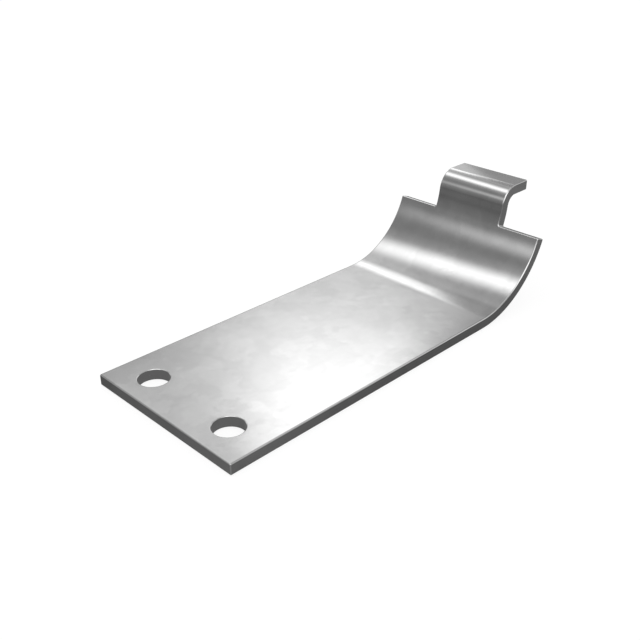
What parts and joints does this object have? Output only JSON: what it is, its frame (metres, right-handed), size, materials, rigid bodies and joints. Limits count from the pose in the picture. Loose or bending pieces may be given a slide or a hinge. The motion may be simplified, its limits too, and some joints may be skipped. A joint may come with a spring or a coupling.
{
  "type": "tube clip",
  "caption": "Bent sheet-metal clip: a flat end with bolt holes, a rolled seat that carries a round tube, and a narrower tongue that ends in a hooked lip.",
  "frame": {"origin": "midway between the two bolt holes, on the underside of the flat end", "axes": "+X along the strip towards the tube seat, +Z out of the flat on the side that the tube lies on, +Y across the strip"},
  "size_m": [0.1268, 0.05, 0.0307],
  "materials": {
    "steel": "satin, with a fine grain and faint cloudy rolling marks"
  },
  "bodies": {
    "root": {"tube_clip": "steel"}
  },
  "joints": []
}
